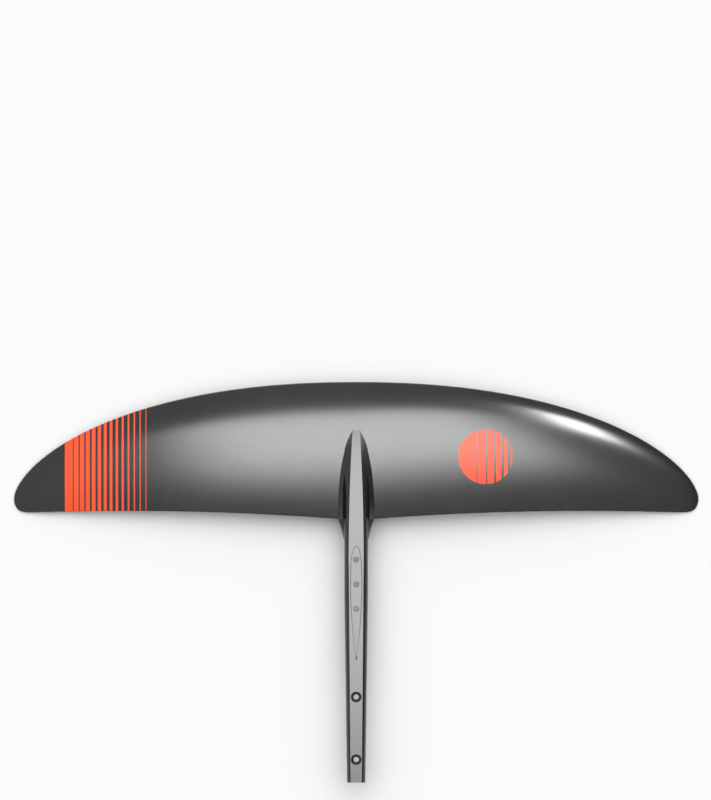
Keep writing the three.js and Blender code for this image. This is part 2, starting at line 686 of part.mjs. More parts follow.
add('upper_skin', upperSkin(), CARBON);
add('lower_skin', lowerSkin(), CARBON);
add('main_spar_web', sparWeb(), BARE_CARBON);
add('upper_spar_cap', upperSparCap(), BARE_CARBON);
add('lower_spar_cap', lowerSparCap(), BARE_CARBON);
add('leading_edge_filler', leadingEdgeFiller(), FILLER);

for (const [hand, side] of Object.entries({ left: -1, right: 1 })) {
  add(`front_core_${hand}`, frontCore(side), FOAM);
  add(`rear_core_${hand}`, rearCore(side), FOAM);
  add(`tip_block_${hand}`, tipBlock(side), LAMINATE);
  add(`root_fairing_${hand}`, rootFairing(side), CARBON);
}

add('fuselage_top_shell', fuselageTopShell(), CARBON);
add('fuselage_bottom_shell', fuselageBottomShell(), CARBON);
add('fuselage_front_core', insideFuselage(FRONT_CORE_Y), FOAM);
add('mast_block', mastBlock(), LAMINATE);
add('fuselage_rear_core', insideFuselage(REAR_CORE_Y), FOAM);
add('tail_block', tailBlock(), LAMINATE);
add('mast_seat_insert', mastSeatInsert(), CARBON);

for (const [place, y] of Object.entries(MAST_BOLTS)) {
  add(`mast_bolt_sleeve_${place}`, mastBoltSleeve(y), STEEL);
}

for (const [place, y] of Object.entries(TAIL_BOLTS)) {
  add(`tail_bolt_cup_${place}`, tailBoltCup(y), BLACK_CUP);
}

export default part;
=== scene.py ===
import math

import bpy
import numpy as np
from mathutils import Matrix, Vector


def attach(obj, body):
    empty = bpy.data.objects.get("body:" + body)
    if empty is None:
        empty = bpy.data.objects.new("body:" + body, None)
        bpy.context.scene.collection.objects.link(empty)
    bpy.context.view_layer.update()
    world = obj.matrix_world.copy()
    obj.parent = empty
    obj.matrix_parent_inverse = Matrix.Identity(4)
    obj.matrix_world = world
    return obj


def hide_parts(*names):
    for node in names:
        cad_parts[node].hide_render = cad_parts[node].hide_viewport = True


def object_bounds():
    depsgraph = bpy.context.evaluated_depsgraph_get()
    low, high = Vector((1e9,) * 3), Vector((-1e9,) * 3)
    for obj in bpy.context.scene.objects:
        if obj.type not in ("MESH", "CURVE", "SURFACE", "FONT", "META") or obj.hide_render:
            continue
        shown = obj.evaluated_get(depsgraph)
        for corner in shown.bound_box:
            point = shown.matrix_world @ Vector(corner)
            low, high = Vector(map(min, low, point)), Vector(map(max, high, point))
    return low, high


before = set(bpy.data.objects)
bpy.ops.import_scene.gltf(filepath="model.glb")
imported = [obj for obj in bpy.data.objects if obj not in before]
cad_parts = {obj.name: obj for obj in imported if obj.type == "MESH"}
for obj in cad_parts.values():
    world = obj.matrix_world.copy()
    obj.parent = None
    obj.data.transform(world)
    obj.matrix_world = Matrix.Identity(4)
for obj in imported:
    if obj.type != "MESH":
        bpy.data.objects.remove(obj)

# A carbon hydrofoil front wing, moulded in one with its fuselage, seen from straight above.
#
# Lengths below are in millimetres and become metres where a mesh, a light or the camera is made.
# +X runs along the span, +Y to the leading edge and +Z up. The origin is the middle of the mast seat.

MM = 0.001
CAD_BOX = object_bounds()

# Wing outline
HALF_SPAN = 445.0
OUTERMOST = 0.9995
TIP_Y = 134.6
LEADING_EDGE_REACH = 151.4
LEADING_EDGE_SPAN_POWER = 2.214
LEADING_EDGE_CHORD_POWER = 1.623
TRAILING_EDGE_SETBACK = 16.1
TRAILING_EDGE_SWEEP = 12.05
TRAILING_EDGE_NEAREST = 0.669
TIP_SQUARENESS = 77.7
TIP_CORNER_POWER = 1.76

# Wing section
THICKNESS_RATIO = 0.115
CAMBER_RATIO = 0.025
EDGE_HALF_THICKNESS = 0.65
FULL_EDGE_CHORD = 14.0
SKIN = 1.4
CHORD_LINE_Z = -15.6
TIP_DROP = 32.0
TIP_DROP_POWER = 2.2
SEAM = 0.08

# Fuselage
TAIL_Y = -233.6
FUSELAGE_FRONT_Y = 223.5
NOSE_FROM_Y = 140.0
TOP_Z = 3.0
BELLY_Z = -24.6
TAIL_SEAT_Z = -13.0
TAIL_SEAT_FROM_Y = -105.0
BELLY_ENDS_Y = -60.0
BELLY_LIFT_FROM_Y = 150.0
BELLY_LIFT = 2.6
HALF_WIDTH = 15.3
TAIL_HALF_WIDTH = 12.0
TAPER_FROM_Y = 10.0
FLAT_HALF_WIDTH = 9.7
FLAT_WIDEST_Y = 55.0
FLAT_FRONT_LOSS = 5.0
FLAT_TAIL_LOSS = 2.44
FLANK_DEPTH = 8.0
SHOULDER_REACH = 0.8
SHOULDER_DROP = 1.5
LOWER_CORNER = 6.0
LOWER_CORNER_LIMIT = 0.6
PARTING_Z = -10.5
WALL = 2.2
FLAT_INSET = 0.4
FLANK_INSET = 0.3
FLAT_GAP = 0.3
EDGE_SOFTENING = 0.12

# Root fairings
OGIVE_HALF_WIDTH = 23.9
OGIVE_FRONT_Y = 224.0
OGIVE_LENGTH = 115.0
FAIRING_AFT_FROM_Y = 110.0
FAIRING_AFT_LENGTH = 35.5
FAIRING_AFT_POWER = 1.5
FAIRING_FRONT_Y = 194.0
FAIRING_REAR_Y = 83.0
FAIRING_BOTTOM_Z = -16.8
FAIRING_LIP = 0.1
FAIRING_SEAM = 0.05
FAIRING_LEAST_WIDTH = 0.3
FAIRING_BEHIND_FROM = 3.0
EDGE_WRAP = 0.2
EDGE_WRAP_STEP = 0.1
GROOVE_FROM_Y = 170.0
GROOVE_FULL_Y = 148.0
GROOVE_REAR_Y = 109.0
GROOVE_WIDTH = 2.1
NECK_DEPTH = 1.8
NECK_FOOT = 0.5
NECK_ABOVE_PARTING = 1.0
NECK_LEDGE = 0.2
# Painted shade film at the foot of each groove: how far short of the groove's ends it stops, and the gap
# it keeps from the groove's walls
GROOVE_SHADE_SHORT = 1.0
GROOVE_SHADE_GAP = 0.1
STEP_LENGTH = 0.4
STATION_ROOM = 1.5

# Mast seat and bolts
SEAT_HALF_LENGTH = 73.4
SEAT_HALF_WIDTH = 7.95
SEAT_NOSE = 0.36
SEAT_NOSE_POWERS = (3, 1 / 2.2)
SEAT_TAIL_POWER = 1.8
SEAT_RIM = 0.6
SEAT_FLOOR = 2.0
SEAT_CHAMFER = 0.12
SEAT_FILLET = 0.3
NOTCH_WIDTH = 1.3
NOTCH_Y = (-74.2, -69.4)
NOTCH_DEPTH = 4.2
NOTCH_FLOOR_INSET = 0.03
BORE_RADIUS = 3.5
BORE_CHAMFER = 0.3
MAST_BOLTS = {"front": 55.5, "middle": 23.6, "rear": -8.2}
TAIL_BOLTS = {"front": -122.6, "rear": -203.8}
SLEEVE_RADIUS = 5.5
SLEEVE_HEAD_RADIUS = 7.7
SLEEVE_HEAD_HEIGHT = 6.0
SLEEVE_COUNTERSINK_RADIUS = 6.4
SLEEVE_COUNTERSINK_DEPTH = 3.4
CUP_RADIUS = 6.9
CUP_HEAD_HEIGHT = 4.4
CUP_STEM_RADIUS = 5.0
CUP_MOUTH_RADIUS = 6.5
CUP_COUNTERSINK_DEPTH = 3.2
CUP_LIP_CHAMFER = 0.1
MOUTH_CHAMFER = 0.15
FOOT_CHAMFER = 0.2
CLEARANCE = 0.12
OVERCUT = 1.0

# How finely the pieces are divided
SPAN_STEPS = 84
CHORD_STEPS = 44
NOSE_SHARES = (0, 0.0002, 0.0006)
FUSELAGE_ROWS = 121
FLANK_STEPS = 12
CORNER_STEPS = 10
BELLY_SHARES = (0.97, 0.5, 0)
FAIRING_ROWS_ON_WING = 48
FAIRING_ROWS_BEHIND = 18
FAIRING_COLUMNS = 13
GROOVE_SHADE_ROWS = 40
GROOVE_SHADE_COLUMNS = 5
SEAT_STEPS = 96
TURNED_STEPS = 72
PATCH_ROWS = 24
STRIP_COLUMNS = 16
ROUND_STRIP_COLUMNS = 40

# Edges sharper than these angles, in degrees, show as edges
WING_EDGE_ANGLE = 50
FUSELAGE_EDGE_ANGLE = 9
FITTING_EDGE_ANGLE = 25
FAIRING_EDGE_ANGLE = 35

# Painted graphics
WIDE_BAND = (-378.5, -368.1)
STRIPE_COUNT = 13
FIRST_STRIPE_X = -366.9
STRIPE_PITCH = 7.79
FIRST_STRIPE_WIDTH = 6.3
LAST_STRIPE_WIDTH = 1.0
DISC_CENTRE = (168.0, 189.0)
DISC_RADIUS = 35.6
DISC_STRIPS = ((-35.3, -12.0), (-11.0, 0.5), (2.0, 11.0), (13.2, 20.6), (23.6, 28.6), (32.4, 34.6))
PAINT_LIFT = 0.03
PAINT_FILM = 0.05
PAINT_EDGE_ROOM = 0.8

# Surface detail, in metres and in features per metre
TOW = 0.002
RIPPLE_SCALE = 900
FOAM_CELL_SCALE = 900

# Camera and light
PIXEL = 1.297
VIEW_CENTRE = (-0.9, 262.6)
CAMERA_HEIGHT = 20000.0
CAMERA_REACH = 100000.0
SENSOR = 36.0
IMAGE_HEIGHT_PIXELS = 800
SOFTBOX_CENTRE = (34, 80, 1700)
SOFTBOX_SIZE = (1415, 1230)
SOFTBOX_TURN = 13.8
SOFTBOX_FEATHER = ((0.23, 0.24), (0.43, 0.17))
SOFTBOX_RADIANCE = 12.0
HIGHLIGHT_CENTRE = (900, 890, 1600)
HIGHLIGHT_SIZE = (280, 510)
HIGHLIGHT_RADIANCE = 50
ROOM_RADIANCE = (0.62, 0.05)
ROOM_DIMS_TO = 0.8
DOME_RADIANCE = 4.7
DOME_LEAN = 22.0
DOME_POWER = 3.0
BACKGROUND_RADIANCE = 0.92
FLOOR_SHADE = 0.55
FLOOR_HALF_SIZE = 6000.0


# ---------------------------------------------------------------- mesh tools


def new_object(name, points, faces, materials, smooth=True):
    """A mesh object from points in millimetres, kept inside the CAD's box."""
    mesh = bpy.data.meshes.new(name)
    inside = np.clip(np.asarray(points) * MM, *CAD_BOX)
    mesh.from_pydata([tuple(point) for point in inside], [], faces)
    mesh.validate()
    for material in materials:
        mesh.materials.append(material)
    if smooth:
        mesh.shade_smooth()
    obj = bpy.data.objects.new(name, mesh)
    bpy.context.scene.collection.objects.link(obj)
    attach(obj, "root")
    return obj


def signed_volume(points, faces):
    points = np.asarray(points)
    total = 0.0
    for face in faces:
        a = points[face[0]]
        for second, third in zip(face[1:-1], face[2:]):
            total += float(np.dot(a, np.cross(points[second], points[third])))
    return total


def outward(points, faces):
    if signed_volume(points, faces) < 0:
        return [tuple(reversed(face)) for face in faces]
    return faces


def sandwich(top, bottom):
    """Points and faces of a solid between two equal grids of points, with walls round its rim."""
    rows, columns = top.shape[:2]
    points = np.concatenate([top.reshape(-1, 3), bottom.reshape(-1, 3)])

    def upper(i, j):
        return i * columns + j

    def lower(i, j):
        return rows * columns + upper(i, j)

    faces = []
    for i in range(rows - 1):
        for j in range(columns - 1):
            faces.append((upper(i, j), upper(i, j + 1), upper(i + 1, j + 1), upper(i + 1, j)))
            faces.append((lower(i, j), lower(i + 1, j), lower(i + 1, j + 1), lower(i, j + 1)))
    last_row, last_column = rows - 1, columns - 1
    for i in range(last_row):
        faces.append((upper(i, 0), upper(i + 1, 0), lower(i + 1, 0), lower(i, 0)))
        faces.append((
            upper(i + 1, last_column), upper(i, last_column),
            lower(i, last_column), lower(i + 1, last_column),
        ))
    for j in range(last_column):
        faces.append((upper(0, j + 1), upper(0, j), lower(0, j), lower(0, j + 1)))
        faces.append((
            upper(last_row, j), upper(last_row, j + 1),
            lower(last_row, j + 1), lower(last_row, j),
        ))
    return points, outward(points, faces)


def loft(rings):
    """Points and faces of a solid through closed rings of points, with a flat face on both ends."""
    size = len(rings[0])
    points = np.concatenate([np.asarray(ring, dtype=float) for ring in rings])
    faces = []
    for start in range(0, (len(rings) - 1) * size, size):
        for k in range(size):
            following = (k + 1) % size
            faces.append((start + k, start + following, start + size + following, start + size + k))
    faces.append(tuple(reversed(range(size))))
    faces.append(tuple(range((len(rings) - 1) * size, len(rings) * size)))
    return points, outward(points, faces)


def turned(outline, y):
    """Points and faces of a ring turned from a closed outline of (radius, z) points, upright at y."""
    points = []
    for k in range(TURNED_STEPS):
        angle = 2 * math.pi * k / TURNED_STEPS
        points += [(radius * math.cos(angle), y + radius * math.sin(angle), z) for radius, z in outline]
    size = len(outline)
    faces = []
    for i in range(TURNED_STEPS):
        here, after = i * size, (i + 1) % TURNED_STEPS * size
        for k in range(size):
            following = (k + 1) % size
            faces.append((here + k, here + following, after + following, after + k))
    return np.array(points), outward(points, faces)


def round_ring(radius, y, z):
    """A level circle of points about the upright axis at y."""
    angles = np.linspace(0, 2 * math.pi, TURNED_STEPS, endpoint=False)
    return [(radius * math.cos(angle), y + radius * math.sin(angle), z) for angle in angles]


def plug(outline, y):
    """A solid through level circles of (radius, z) at y, used to cut a hole."""
    return loft([round_ring(radius, y, z) for radius, z in outline])


def cut_out(obj, cutters):
    """Cuts each (points, faces) solid out of the object and applies the result."""
    for points, faces in cutters:
        mesh = bpy.data.meshes.new("cutter")
        mesh.from_pydata([tuple(point) for point in np.asarray(points) * MM], [], faces)
        cutter = bpy.data.objects.new("cutter", mesh)
        bpy.context.scene.collection.objects.link(cutter)
        modifier = obj.modifiers.new("cut", "BOOLEAN")
        modifier.operation = "DIFFERENCE"
        modifier.solver = "EXACT"
        modifier.object = cutter
        apply_modifiers(obj)
        bpy.data.objects.remove(cutter)
        bpy.data.meshes.remove(mesh)


def apply_modifiers(obj):
    graph = bpy.context.evaluated_depsgraph_get()
    mesh = bpy.data.meshes.new_from_object(obj.evaluated_get(graph))
    obj.modifiers.clear()
    obj.data = mesh


def crisp(obj, angle):
    """Smooth shading that breaks at edges sharper than the angle."""
    obj.data.shade_smooth()
    obj.data.set_sharp_from_angle(angle=math.radians(angle))


def smoothstep(value, low, high):
    share = np.clip((value - low) / (high - low), 0, 1)
    return share * share * (3 - 2 * share)


def mix(a, b, share):
    return a + (b - a) * share


# ---------------------------------------------------------------- materials


def new_material(name):
    """A node-based material, its nodes and its links."""
    material = bpy.data.materials.new(name)
    material.use_nodes = True
    return material, material.node_tree.nodes, material.node_tree.links


def shader_of(nodes):
    return nodes["Principled BSDF"]


def math_node(nodes, links, operation, first, second=0.0):
    """A Math node whose inputs are either sockets or numbers."""
    made = nodes.new("ShaderNodeMath")
    made.operation = operation
    for socket, value in zip(made.inputs, (first, second)):
        if isinstance(value, (int, float)):
            socket.default_value = value
        else:
            links.new(value, socket)
    return made.outputs[0]


def noise(nodes, links, scale, detail=2.0, stretch=(1, 1, 1)):
    """Noise over the object's own coordinates. Scale is in features per metre."""
    place = nodes.new("ShaderNodeTexCoord")
    mapping = nodes.new("ShaderNodeMapping")
    mapping.inputs["Scale"].default_value = stretch
    texture = nodes.new("ShaderNodeTexNoise")
    texture.inputs["Scale"].default_value = scale
    texture.inputs["Detail"].default_value = detail
    links.new(place.outputs["Object"], mapping.inputs["Vector"])
    links.new(mapping.outputs["Vector"], texture.inputs["Vector"])
    return texture.outputs["Fac"]


def ramp(nodes, links, factor, low, high, start=0.3, end=0.7):
    """Colours from low to high as the factor goes from start to end."""
    made = nodes.new("ShaderNodeValToRGB")
    made.color_ramp.elements[0].position = start
    made.color_ramp.elements[0].color = (*low, 1)
    made.color_ramp.elements[1].position = end
    made.color_ramp.elements[1].color = (*high, 1)
    links.new(factor, made.inputs["Fac"])
    return made.outputs["Color"]


def spread(nodes, links, factor, low, high):
    """The factor, from 0 to 1, stretched between two numbers."""
    made = nodes.new("ShaderNodeMapRange")
    made.inputs["To Min"].default_value = low
    made.inputs["To Max"].default_value = high
    links.new(factor, made.inputs["Value"])
    return made.outputs["Result"]


def add_bump(nodes, links, shader, height, strength, distance):
    bump = nodes.new("ShaderNodeBump")
    bump.inputs["Strength"].default_value = strength
    bump.inputs["Distance"].default_value = distance
    links.new(height, bump.inputs["Height"])
    links.new(bump.outputs["Normal"], shader.inputs["Normal"])


def twill(nodes, links, tow):
    """1 on one set of tows and 0 on the other, for a two by two twill over X and Y."""
    place = nodes.new("ShaderNodeTexCoord")
    split = nodes.new("ShaderNodeSeparateXYZ")
    links.new(place.outputs["Object"], split.inputs[0])
    along = math_node(nodes, links, "FLOOR", math_node(nodes, links, "DIVIDE", split.outputs["X"], tow))
    across = math_node(nodes, links, "FLOOR", math_node(nodes, links, "DIVIDE", split.outputs["Y"], tow))
    step = math_node(nodes, links, "MULTIPLY", math_node(nodes, links, "SUBTRACT", along, across), 0.25)
    return math_node(nodes, links, "LESS_THAN", math_node(nodes, links, "FRACT", step), 0.5)


def carbon_gloss():
    """Clear-coated carbon: near black, with a twill that only shows in how sharply it reflects."""
    material, nodes, links = new_material("carbon_gloss")
    shader = shader_of(nodes)
    weave = twill(nodes, links, TOW)
    cloud = noise(nodes, links, 14, 3)
    colour = ramp(nodes, links, cloud, (0.0120, 0.0120, 0.0124), (0.0165, 0.0165, 0.0170))
    links.new(colour, shader.inputs["Base Color"])
    polish = spread(nodes, links, noise(nodes, links, 60, 4), 0.18, 0.215)
    tows = math_node(nodes, links, "MULTIPLY", weave, 0.01)
    links.new(math_node(nodes, links, "ADD", polish, tows), shader.inputs["Roughness"])
    add_bump(nodes, links, shader, noise(nodes, links, RIPPLE_SCALE, 2), 0.002, 0.0002)
    return material


def orange_paint():
    """Orange lacquer, which reflects a little less than the carbon's clear coat."""
    material, nodes, links = new_material("orange_paint")
    shader = shader_of(nodes)
    cloud = noise(nodes, links, 30, 3)
    colour = ramp(nodes, links, cloud, (0.60, 0.062, 0.0180), (0.64, 0.068, 0.0205))
    links.new(colour, shader.inputs["Base Color"])
    shader.inputs["Specular IOR Level"].default_value = 0.2
    links.new(spread(nodes, links, noise(nodes, links, 70, 4), 0.20, 0.25), shader.inputs["Roughness"])
    add_bump(nodes, links, shader, noise(nodes, links, RIPPLE_SCALE, 2), 0.002, 0.0002)
    return material


def satin_carbon():
    """Carbon rubbed down to a satin, on the blended tails of the fairings."""
    material, nodes, links = new_material("satin_carbon")
    shader = shader_of(nodes)
    cloud = noise(nodes, links, 40, 3)
    colour = ramp(nodes, links, cloud, (0.012, 0.012, 0.0124), (0.016, 0.016, 0.0165))
    links.new(colour, shader.inputs["Base Color"])
    links.new(spread(nodes, links, cloud, 0.3, 0.4), shader.inputs["Roughness"])
    shader.inputs["Specular IOR Level"].default_value = 0.2
    add_bump(nodes, links, shader, noise(nodes, links, RIPPLE_SCALE, 2), 0.01, 0.0002)
    return material


def bare_carbon():
    """Uncoated carbon cloth, with the twill in its colour, its sheen and its relief."""
    material, nodes, links = new_material("bare_carbon")
    shader = shader_of(nodes)
    weave = twill(nodes, links, TOW)
    colour = ramp(nodes, links, weave, (0.012, 0.012, 0.013), (0.028, 0.028, 0.030), 0.0, 1.0)
    links.new(colour, shader.inputs["Base Color"])
    links.new(spread(nodes, links, weave, 0.42, 0.55), shader.inputs["Roughness"])
    add_bump(nodes, links, shader, weave, 0.2, 0.0001)
    return material


def core_foam():
    """Pale closed-cell foam with open cells where it was cut."""
    material, nodes, links = new_material("core_foam")
    shader = shader_of(nodes)
    cells = noise(nodes, links, FOAM_CELL_SCALE, 4)
    colour = ramp(nodes, links, cells, (0.58, 0.52, 0.33), (0.76, 0.70, 0.50))
    links.new(colour, shader.inputs["Base Color"])
    shader.inputs["Roughness"].default_value = 0.95
    add_bump(nodes, links, shader, cells, 0.6, 0.0004)
    return material


def solid_laminate():
    """Thick carbon laminate cut square, with its plies as level layers."""
    material, nodes, links = new_material("solid_laminate")
    shader = shader_of(nodes)
    plies = noise(nodes, links, 60, 3, stretch=(1, 1, 60))
    colour = ramp(nodes, links, plies, (0.011, 0.011, 0.012), (0.035, 0.035, 0.036))
    links.new(colour, shader.inputs["Base Color"])
    links.new(spread(nodes, links, plies, 0.4, 0.6), shader.inputs["Roughness"])
    add_bump(nodes, links, shader, plies, 0.2, 0.0001)
    return material


def fibre_filler():
    """Fibre and resin, with strands that run along the span."""
    material, nodes, links = new_material("fibre_filler")
    shader = shader_of(nodes)
    strands = noise(nodes, links, 250, 3, stretch=(0.05, 1, 1))
    colour = ramp(nodes, links, strands, (0.03, 0.03, 0.028), (0.10, 0.10, 0.095))
    links.new(colour, shader.inputs["Base Color"])
    shader.inputs["Roughness"].default_value = 0.7
    add_bump(nodes, links, shader, strands, 0.3, 0.0002)
    return material


def turned_steel():
    """Grey steel with fine turning marks round its axis."""
    material, nodes, links = new_material("turned_steel")
    shader = shader_of(nodes)
    shader.inputs["Metallic"].default_value = 1.0
    marks = noise(nodes, links, 300, 3, stretch=(0.2, 0.2, 8))
    colour = ramp(nodes, links, marks, (0.16, 0.165, 0.17), (0.26, 0.265, 0.27))
    links.new(colour, shader.inputs["Base Color"])
    links.new(spread(nodes, links, marks, 0.22, 0.38), shader.inputs["Roughness"])
    add_bump(nodes, links, shader, marks, 0.1, 0.00005)
    return material


def black_anodised():
    """Black anodised aluminium with faint turning marks."""
    material, nodes, links = new_material("black_anodised")
    shader = shader_of(nodes)
    marks = noise(nodes, links, 500, 3, stretch=(1, 1, 6))
    colour = ramp(nodes, links, marks, (0.010, 0.010, 0.011), (0.018, 0.018, 0.019))
    links.new(colour, shader.inputs["Base Color"])
    links.new(spread(nodes, links, marks, 0.38, 0.5), shader.inputs["Roughness"])
    return material


def painted_shade_black():
    """Near-black matt material with a fine grain, used as painted shade at the foot of the grooves, on
    their ledges and in the mast notch.
    """
    material, nodes, links = new_material("painted_shade_black")
    shader = shader_of(nodes)
    grain = noise(nodes, links, 700, 3)
    colour = ramp(nodes, links, grain, (0.003, 0.003, 0.003), (0.007, 0.007, 0.007))
    links.new(colour, shader.inputs["Base Color"])
    links.new(spread(nodes, links, grain, 0.7, 0.9), shader.inputs["Roughness"])
    shader.inputs["Specular IOR Level"].default_value = 0.1
    add_bump(nodes, links, shader, grain, 0.2, 0.0001)
    return material


def pale_floor():
    """A plain pale matt floor."""
    material, nodes = new_material("pale_floor")[:2]
    shader = shader_of(nodes)
    shader.inputs["Base Color"].default_value = (FLOOR_SHADE, FLOOR_SHADE, FLOOR_SHADE, 1)
    shader.inputs["Roughness"].default_value = 0.9
    shader.inputs["Specular IOR Level"].default_value = 0.1
    return material


GLOSS = carbon_gloss()
ORANGE = orange_paint()
SATIN = satin_carbon()
BARE = bare_carbon()
FOAM = core_foam()
LAMINATE = solid_laminate()
FIBRE = fibre_filler()
STEEL = turned_steel()
BLACK = black_anodised()
PAINTED_SHADE = painted_shade_black()


# ---------------------------------------------------------------- the wing's surface


def leading_edge_y(x):
    along = np.abs(x) / HALF_SPAN
    reach = (1 - along**LEADING_EDGE_SPAN_POWER) ** (1 / LEADING_EDGE_CHORD_POWER)
    return TIP_Y + LEADING_EDGE_REACH * reach


def trailing_edge_y(x):
    along = np.abs(x) / HALF_SPAN
    setback = TRAILING_EDGE_SETBACK + TRAILING_EDGE_SWEEP * (1 - along / TRAILING_EDGE_NEAREST) ** 2
    return TIP_Y - setback * (1 - along**TIP_SQUARENESS) ** (1 / TIP_CORNER_POWER)


def chord(x):
    return leading_edge_y(x) - trailing_edge_y(x)


def mean_z(x, s):
    drop = TIP_DROP * (np.abs(x) / HALF_SPAN) ** TIP_DROP_POWER
    return CHORD_LINE_Z - drop + 4 * CAMBER_RATIO * s * (1 - s) * chord(x)


def edge_thickness(x, s):
    """The blunt edge's half thickness, rounded off all round the outline."""
    radius = EDGE_HALF_THICKNESS * np.minimum(1, np.sqrt(chord(x) / FULL_EDGE_CHORD))
    inward = np.minimum(1, np.minimum(s, 1 - s) * chord(x) / radius)
    return radius * np.sqrt(1 - (1 - inward) ** 2)


def half_thickness(x, s):
    """Half of the usual four-digit aerofoil's thickness, with a closed trailing edge."""
    shape = 0.2969 * np.sqrt(s) - 0.126 * s - 0.3516 * s**2 + 0.2843 * s**3 - 0.1036 * s**4
    return edge_thickness(x, s) + 5 * THICKNESS_RATIO * np.maximum(shape, 0) * chord(x)


def upper_z(x, s):
    return mean_z(x, s) + half_thickness(x, s)


def lower_z(x, s):
    return mean_z(x, s) - half_thickness(x, s)


def upper_surface_at(x, y):
    s = np.clip((leading_edge_y(x) - y) / chord(x), 0, 1)
    return upper_z(x, s)


def stripe_edges():
    """The two X values of each orange band on the left tip."""
    bands = [WIDE_BAND]
    for k in range(STRIPE_COUNT):
        left = FIRST_STRIPE_X + STRIPE_PITCH * k
        width = mix(FIRST_STRIPE_WIDTH, LAST_STRIPE_WIDTH, k / (STRIPE_COUNT - 1))
        bands.append((left, left + width))
    return bands


def span_stations(edges=()):
    """X values along the span, closer together towards the tips, with one on each paint edge."""
    turns = [math.pi / 2 * k / SPAN_STEPS for k in range(-SPAN_STEPS, SPAN_STEPS + 1)]
    xs = [HALF_SPAN * OUTERMOST * math.sin(turn) for turn in turns]
    for edge in edges:
        xs = [x for x in xs if abs(x - edge) > PAINT_EDGE_ROOM]
    return np.array(sorted(xs + list(edges)))


def chord_stations():
    """Shares of the chord, close together at both edges."""
    middle = [(1 - math.cos(math.pi * k / CHORD_STEPS)) / 2 for k in range(1, CHORD_STEPS)]
    tail = [1 - share for share in reversed(NOSE_SHARES)]
    return np.array(list(NOSE_SHARES) + middle + tail)


def wing_grid(xs, shares, height):
    """A grid of points over the wing's plan, at heights worked out from X and the share of the chord."""
    x, s = np.meshgrid(xs, shares, indexing="ij")
    y = leading_edge_y(x) - s * chord(x)
    return np.stack([x, y, height(x, s)], axis=-1)


def upper_skin():
    """The wing's upper skin, with the orange bands of its left tip as painted faces."""
    edges = [x for band in stripe_edges() for x in band]
    xs, shares = span_stations(edges), chord_stations()
    top = wing_grid(xs, shares, lambda x, s: np.maximum(upper_z(x, s), mean_z(x, s) + SEAM))
    bottom = wing_grid(xs, shares, lambda x, s: np.maximum(upper_z(x, s) - SKIN, mean_z(x, s) + SEAM / 2))
    points, faces = sandwich(top, bottom)
    skin = new_object("upper_skin_moulding", points, faces, [GLOSS, ORANGE])
    paint_bands(skin)
    crisp(skin, WING_EDGE_ANGLE)
    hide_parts("upper_skin")


def paint_bands(skin):
    """Gives the faces inside an orange band the paint."""
    bands = stripe_edges()
    for face in skin.data.polygons:
        x = face.center.x / MM
        if any(left < x < right for left, right in bands):
            face.material_index = 1


def lower_skin():
    """The wing's lower skin, which meets the upper one at the moulding line."""
    xs, shares = span_stations(), chord_stations()
    top = wing_grid(xs, shares, lambda x, s: np.minimum(lower_z(x, s) + SKIN, mean_z(x, s) - SEAM / 2))
    bottom = wing_grid(xs, shares, lambda x, s: np.minimum(lower_z(x, s), mean_z(x, s) - SEAM))
    points, faces = sandwich(top, bottom)
    skin = new_object("lower_skin_moulding", points, faces, [GLOSS])
    crisp(skin, WING_EDGE_ANGLE)
    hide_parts("lower_skin")


# ---------------------------------------------------------------- painted disc


def paint_patch(xs, low, high):
    """A thin film on the wing's upper side, over stations xs, between two curves of Y."""
    x = np.repeat(xs[:, None], PATCH_ROWS, axis=1)
    y = mix(low[:, None], high[:, None], np.linspace(0, 1, PATCH_ROWS)[None, :])
    z = upper_surface_at(x, y)
    top = np.stack([x, y, z + PAINT_LIFT + PAINT_FILM], axis=-1)
    bottom = np.stack([x, y, z + PAINT_LIFT], axis=-1)
    return sandwich(top, bottom)


def joined(solids):
    """Points and faces of several solids as one mesh."""
    points, faces, offset = [], [], 0
    for solid_points, solid_faces in solids:
        points.append(solid_points)
        faces.extend(tuple(index + offset for index in face) for face in solid_faces)
        offset += len(solid_points)
    return np.concatenate(points), faces


def disc_strips():
    """The disc's upright strips, parted by slits that widen to the right, like the bands on the tip."""
    solids = []
    for left, right in DISC_STRIPS:
        xs = np.linspace(left, right, STRIP_COLUMNS)
        if (left, right) == DISC_STRIPS[0]:
            ends = [math.acos(x / DISC_RADIUS) for x in (left, right)]
            xs = DISC_RADIUS * np.cos(np.linspace(*ends, ROUND_STRIP_COLUMNS))
        half = np.sqrt(DISC_RADIUS**2 - xs**2)
        solids.append(paint_patch(xs + DISC_CENTRE[0], DISC_CENTRE[1] - half, DISC_CENTRE[1] + half))
    return solids


def painted_disc():
    """The orange disc on the right half, as one piece of separate strips."""
    points, faces = joined(disc_strips())
    disc = new_object("painted_disc", points, faces, [ORANGE])
    crisp(disc, WING_EDGE_ANGLE)


# ---------------------------------------------------------------- the fuselage's surface


def ogive_half_width(y):
    if y > FAIRING_AFT_FROM_Y:
        to_go = min(max(1 - (OGIVE_FRONT_Y - y) / OGIVE_LENGTH, 0), 1)
        return OGIVE_HALF_WIDTH * math.sqrt(1 - to_go**2)
    left = min(max(1 - (FAIRING_AFT_FROM_Y - y) / FAIRING_AFT_LENGTH, 0), 1)
    return HALF_WIDTH + (OGIVE_HALF_WIDTH - HALF_WIDTH) * left**FAIRING_AFT_POWER


def flat_half_width(y):
    if y > FLAT_WIDEST_Y:
        ahead = (y - FLAT_WIDEST_Y) / (FUSELAGE_FRONT_Y - FLAT_WIDEST_Y)
        return FLAT_HALF_WIDTH - FLAT_FRONT_LOSS * ahead**2
    return FLAT_HALF_WIDTH - FLAT_TAIL_LOSS * (FLAT_WIDEST_Y - y) / (FLAT_WIDEST_Y - TAIL_Y)


